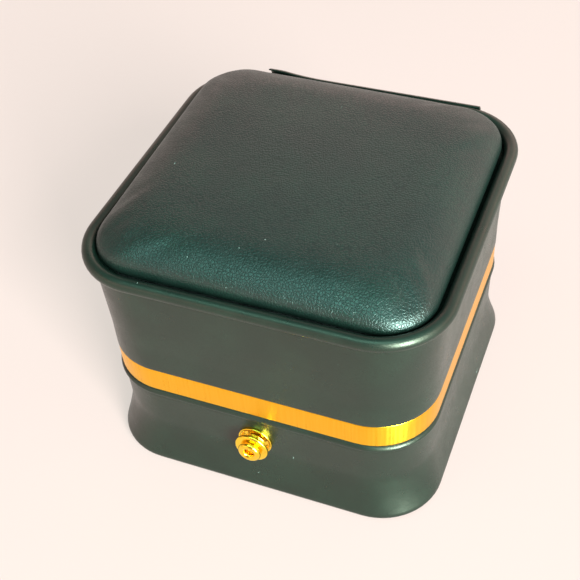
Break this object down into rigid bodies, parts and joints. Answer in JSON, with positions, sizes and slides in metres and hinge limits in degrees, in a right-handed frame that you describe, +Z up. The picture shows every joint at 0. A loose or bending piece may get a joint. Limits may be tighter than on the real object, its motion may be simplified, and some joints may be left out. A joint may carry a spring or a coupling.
{
  "type": "ring box",
  "caption": "Square leatherette ring box with flared foot, padded lid with rolled rim, gilt band, push-button latch, concealed hinge and padded ring slot.",
  "frame": {"origin": "centre of the felt face on which the closed box rests", "axes": "+Z up, -Y towards the push button at the front, +Y towards the hinge, +X to the right seen from the front"},
  "size_m": [0.06, 0.0616, 0.0487],
  "materials": {
    "leatherette": "fine smooth grain, semi-gloss dark green",
    "pad_leatherette": "fine pebbled grain, semi-gloss dark green, padded",
    "gilt_band": "satin gilt strip",
    "gilt_brass": "polished, turned",
    "steel": "plain stamped steel",
    "moulded_plastic": "moulded, unpolished",
    "velvet": "flocked, deep green",
    "felt": "short dense felt",
    "satin": "ivory satin",
    "foam": "open-cell foam",
    "piping_cord": "twisted cotton",
    "card": "grey board"
  },
  "bodies": {
    "base": {"base_shell": "moulded_plastic", "base_wrap": "leatherette", "bottom_board": "card", "bottom_felt": "felt", "base_insert": "velvet", "roll_board": "card", "ring_roll_front": "velvet", "ring_roll_rear": "velvet", "button_bezel": "gilt_brass", "bezel_nut": "gilt_brass", "latch_housing": "steel", "latch_screws": "steel", "latch_spring": "steel", "hinge_leaf_base": "steel", "hinge_rivets_base": "steel", "hinge_pin": "steel", "hinge_spring": "steel", "spine_lower": "leatherette", "spine_flex": "leatherette"},
    "button": {"push_button": "gilt_brass", "latch_slider": "steel", "slider_clip": "steel"},
    "lid": {"lid_shell": "moulded_plastic", "lid_wrap": "leatherette", "gold_band": "gilt_band", "rim_piping": "piping_cord", "pad_board": "card", "pad_foam": "foam", "pad_cover": "pad_leatherette", "lid_side_liner": "satin", "lid_ceiling_board": "card", "lid_ceiling_pad": "satin", "strike_plate": "steel", "strike_rivets": "steel", "hinge_leaf_lid": "steel", "hinge_rivets_lid": "steel", "spine_upper": "leatherette"}
  },
  "joints": [
    {"name": "lid_hinge", "type": "hinge", "parent": "base", "child": "lid", "pos_m": [0, 0.0284, 0.0182], "axis": [-1, 0, 0], "range_deg": [0, 100], "deforming": ["hinge_spring", "spine_flex"]},
    {"name": "button_press", "type": "slide", "parent": "base", "child": "button", "axis": [0, 1, 0], "range_m": [0, 0.0008], "stiffness_N_per_m": 600, "springref_m": -0.0012, "deforming": ["latch_spring"]}
  ]
}
